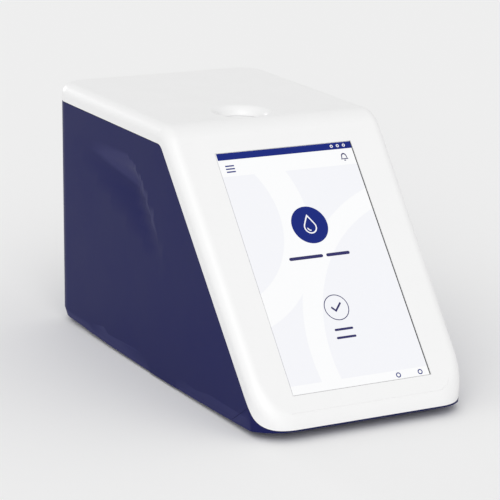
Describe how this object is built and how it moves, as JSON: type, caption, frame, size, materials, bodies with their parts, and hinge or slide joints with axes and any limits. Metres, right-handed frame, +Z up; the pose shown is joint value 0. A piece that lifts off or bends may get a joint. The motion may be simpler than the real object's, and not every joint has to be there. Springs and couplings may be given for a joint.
{
  "type": "crp analyzer",
  "caption": "Bench-top blood test reader: white cover with a sloping touch screen over a blue housing, and a sliding lid above a cuvette lift and its optics.",
  "frame": {"origin": "middle of the footprint, on the table under the feet", "axes": "+Z up, the touch screen faces -Y, +X to the right of someone who faces the screen"},
  "size_m": [0.1446, 0.2699, 0.155],
  "materials": {
    "white_plastic": "satin",
    "blue_plastic": "fine satin",
    "screen_glass": "polished, over a lit display",
    "grey_plastic": "moulded",
    "sheet_steel": "plated sheet",
    "black_plastic": "moulded",
    "gear_plastic": "moulded acetal",
    "aluminium": "machined",
    "lens_glass": "polished",
    "circuit_board": "solder mask",
    "ground_steel": "ground",
    "socket_metal": "plated",
    "button_plastic": "satin",
    "rubber": "matte",
    "screw_steel": "plated"
  },
  "bodies": {
    "body": {"top_front_cover": "white_plastic", "main_housing": "blue_plastic", "base_plate": "blue_plastic", "touch_glass": "screen_glass", "lcd_module": "grey_plastic", "display_bracket": "sheet_steel", "lid_tray": "black_plastic", "lid_motor": "grey_plastic", "chassis": "grey_plastic", "heater_block": "aluminium", "light_source": "black_plastic", "condenser_lens": "lens_glass", "detector_board": "circuit_board", "cuvette_reader": "black_plastic", "guide_rod_left": "ground_steel", "guide_rod_right": "ground_steel", "lift_motor": "grey_plastic", "main_board": "circuit_board", "network_socket": "socket_metal", "usb_socket_1": "socket_metal", "usb_socket_2": "socket_metal", "power_inlet": "black_plastic", "power_switch": "black_plastic", "speaker": "black_plastic", "foot_1": "rubber", "foot_2": "rubber", "foot_3": "rubber", "foot_4": "rubber", "base_screw_1": "screw_steel", "base_screw_2": "screw_steel", "base_screw_3": "screw_steel", "base_screw_4": "screw_steel"},
    "sliding_lid": {"lid": "white_plastic"},
    "pinion": {"lid_pinion": "gear_plastic"},
    "carrier": {"cuvette_carrier": "white_plastic"},
    "spindle": {"lift_screw": "ground_steel"},
    "button": {"power_button": "button_plastic"}
  },
  "joints": [
    {"name": "lid_slide", "type": "slide", "parent": "body", "child": "sliding_lid", "axis": [0, 1, 0], "range_m": [0, 0.032]},
    {"name": "pinion_spin", "type": "hinge", "parent": "body", "child": "pinion", "pos_m": [0.01945, 0.027, 0.1481], "axis": [0, 0, 1], "range_deg": [-306, 0]},
    {"name": "carrier_lift", "type": "slide", "parent": "body", "child": "carrier", "axis": [0, 0, 1], "range_m": [0, 0.023]},
    {"name": "spindle_spin", "type": "hinge", "parent": "body", "child": "spindle", "pos_m": [-0.008, 0.046, 0.1], "axis": [0, 0, 1], "range_deg": [-1657, 0]},
    {"name": "button_press", "type": "slide", "parent": "body", "child": "button", "axis": [0, -1, 0], "range_m": [0, 0.0015], "stiffness_N_per_m": 400, "springref_m": -0.002}
  ],
  "couplings": [
    {"joint": "pinion_spin", "follows": "lid_slide", "rad_per_m": -166.67},
    {"joint": "spindle_spin", "follows": "carrier_lift", "rad_per_m": -1256.6}
  ]
}
